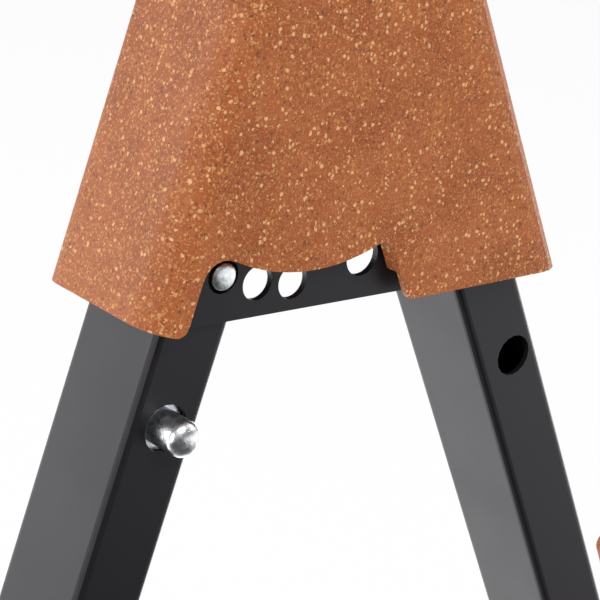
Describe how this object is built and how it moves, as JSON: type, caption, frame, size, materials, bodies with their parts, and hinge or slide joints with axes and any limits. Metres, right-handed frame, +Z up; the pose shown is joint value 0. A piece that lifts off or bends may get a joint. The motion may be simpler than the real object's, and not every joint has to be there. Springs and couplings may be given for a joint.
{
  "type": "guitar stand",
  "caption": "Low folding A-frame guitar stand: composite head over two rectangular steel legs, spring-button lock, padded fold-in support arms and rubber-capped cross feet.",
  "frame": {"origin": "on the floor, under the middle of the stand's overall length and width", "axes": "+X towards the guitar and the support arms, +Y to the stand's left, +Z up"},
  "size_m": [0.4894, 0.3446, 0.44],
  "materials": {
    "cork_composite": "moulded brown composite with pale cork chips",
    "black_powder_coat": "satin black powder coat on steel",
    "zinc_plate": "bright zinc plated steel",
    "spring_steel": "bright spring steel strip",
    "black_nylon": "moulded black nylon",
    "black_rubber": "matte black rubber"
  },
  "bodies": {
    "front_frame": {"head_shell": "cork_composite", "near_side_plate": "black_powder_coat", "far_side_plate": "black_powder_coat", "leg_pivot_pin": "zinc_plate", "pivot_washer_near": "black_nylon", "pivot_washer_far": "black_nylon", "front_rivet_upper": "zinc_plate", "front_rivet_lower": "zinc_plate", "head_screw_upper": "zinc_plate", "head_screw_lower": "zinc_plate", "front_leg_tube": "black_powder_coat", "front_leg_plug": "black_nylon", "front_foot_bar": "black_powder_coat", "front_foot_left": "black_rubber", "front_foot_right": "black_rubber", "left_arm_bracket": "black_powder_coat", "right_arm_bracket": "black_powder_coat", "left_arm_pin": "zinc_plate", "right_arm_pin": "zinc_plate"},
    "rear_leg": {"rear_leg_tube": "black_powder_coat", "rear_leg_eye": "black_nylon", "rear_leg_eye_rivet": "zinc_plate", "rear_foot_bar": "black_powder_coat", "rear_foot_left": "black_rubber", "rear_foot_right": "black_rubber", "lock_spring_block": "black_nylon", "lock_spring_rivet": "zinc_plate"},
    "lock_spring": {"lock_spring_blade": "spring_steel", "lock_button": "zinc_plate", "release_pin": "zinc_plate"},
    "left_arm": {"left_support_arm": "black_powder_coat", "left_arm_pad": "cork_composite"},
    "right_arm": {"right_support_arm": "black_powder_coat", "right_arm_pad": "cork_composite"}
  },
  "joints": [
    {"name": "rear_leg_fold", "type": "hinge", "parent": "front_frame", "child": "rear_leg", "pos_m": [-0.07005, 0, 0.40724], "axis": [0, -1, 0], "range_deg": [0, 42]},
    {"name": "lock_release", "type": "hinge", "parent": "rear_leg", "child": "lock_spring", "pos_m": [-0.12942, -0.0127, 0.27397], "axis": [-0.9336, 0, 0.3584], "range_deg": [0, 4.5], "stiffness_Nm_per_rad": 4, "deforming": ["lock_spring_blade", "lock_button", "release_pin"]},
    {"name": "left_arm_fold", "type": "hinge", "parent": "front_frame", "child": "left_arm", "pos_m": [0.13504, 0.138, 0.0221], "axis": [0.3584, 0, -0.9336], "range_deg": [0, 90]},
    {"name": "right_arm_fold", "type": "hinge", "parent": "front_frame", "child": "right_arm", "pos_m": [0.13504, -0.138, 0.0221], "axis": [-0.3584, 0, 0.9336], "range_deg": [0, 90]}
  ]
}
